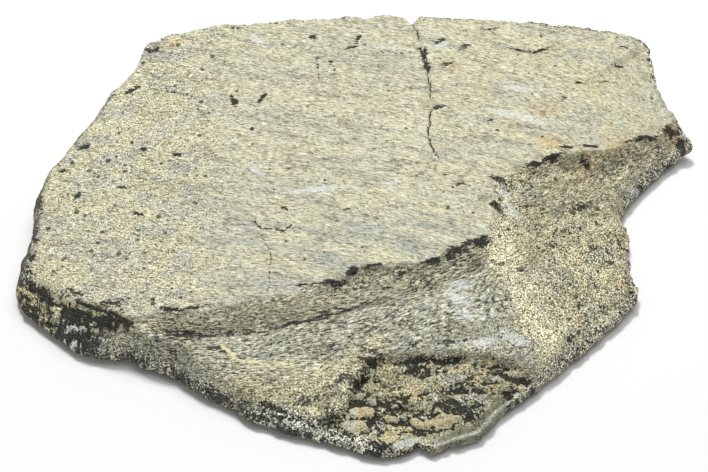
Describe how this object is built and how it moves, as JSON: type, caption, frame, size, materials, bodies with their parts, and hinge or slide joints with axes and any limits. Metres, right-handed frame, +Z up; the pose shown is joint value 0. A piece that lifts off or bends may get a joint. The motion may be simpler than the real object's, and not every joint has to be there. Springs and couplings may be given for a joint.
{
  "type": "camptosaurus rib section",
  "caption": "Flat fossil rib fragment: a smooth striated bone plate with a crack, a ledge, a fibrous bench, a grainy slope and a recess of open spongy bone.",
  "frame": {"origin": "on the surface the piece rests on, under the middle of its bounding box", "axes": "+X along the bone's fibres towards the pointed end, +Y towards the straight back edge, +Z up out of the smooth upper face"},
  "size_m": [0.1076, 0.0794, 0.013],
  "materials": {
    "fossil_bone": "matt tan and grey bone with fine striations, black mineral in the pores and breaks"
  },
  "bodies": {
    "root": {"rib_section": "fossil_bone"}
  },
  "joints": []
}
